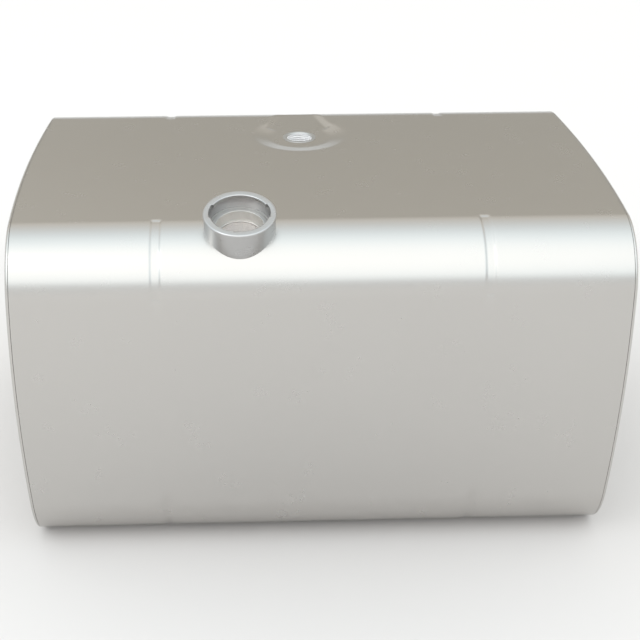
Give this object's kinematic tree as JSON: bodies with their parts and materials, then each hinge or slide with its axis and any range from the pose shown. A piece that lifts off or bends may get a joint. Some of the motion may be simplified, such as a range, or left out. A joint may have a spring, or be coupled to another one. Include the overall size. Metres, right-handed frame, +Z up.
{
  "type": "fresh water tank",
  "caption": "Rounded sheet metal water tank with domed ends, tilted bayonet filler neck with lift-out strainer, pressed dish with top port, band grooves, rear outlet and drain plug.",
  "frame": {"origin": "centre of the flat underside", "axes": "+X along the tank to its right end, +Y to the rear face, +Z up; the front face and the filler neck are towards -Y"},
  "size_m": [0.6738, 0.4635, 0.4011],
  "materials": {
    "body_sheet": "satin, fine random finish, no visible grain direction",
    "inner_sheet": "mill finish",
    "neck_steel": "satin, bright rolled rim",
    "strainer_steel": "satin",
    "screen_mesh": "woven wire",
    "seal_rubber": "food grade silicone, satin",
    "washer_rubber": "matt",
    "fitting_steel": "machined",
    "weld_metal": "ground weld",
    "plug_steel": "machined"
  },
  "bodies": {
    "tank": {"tank_wrapper": "body_sheet", "left_end_cap": "body_sheet", "right_end_cap": "body_sheet", "left_baffle": "inner_sheet", "right_baffle": "inner_sheet", "filler_neck": "neck_steel", "neck_seat_ring": "neck_steel", "strainer_seal": "seal_rubber", "top_port_boss": "fitting_steel", "outlet_socket": "fitting_steel", "outlet_weld": "weld_metal", "drain_socket": "fitting_steel", "drain_weld": "weld_metal", "rear_seam_weld": "weld_metal"},
    "strainer": {"strainer_cup": "strainer_steel", "strainer_screen": "screen_mesh", "screen_retaining_ring": "strainer_steel"},
    "washer": {"drain_washer": "washer_rubber"},
    "plug": {"drain_plug": "plug_steel"}
  },
  "joints": [
    {"name": "strainer_lift", "type": "slide", "parent": "tank", "child": "strainer", "axis": [0, -0.2504, 0.9681], "range_m": [0, 0.06]},
    {"name": "washer_slide", "type": "slide", "parent": "tank", "child": "washer", "axis": [0, 1, 0], "range_m": [0, 0.01461]},
    {"name": "drain_plug_turn", "type": "hinge", "parent": "washer", "child": "plug", "pos_m": [0.215, 0.2305, 0.076], "axis": [0, 1, 0], "range_deg": [0, 2880]}
  ],
  "couplings": [
    {"joint": "washer_slide", "follows": "drain_plug_turn", "m_per_rad": 0.00028871}
  ]
}
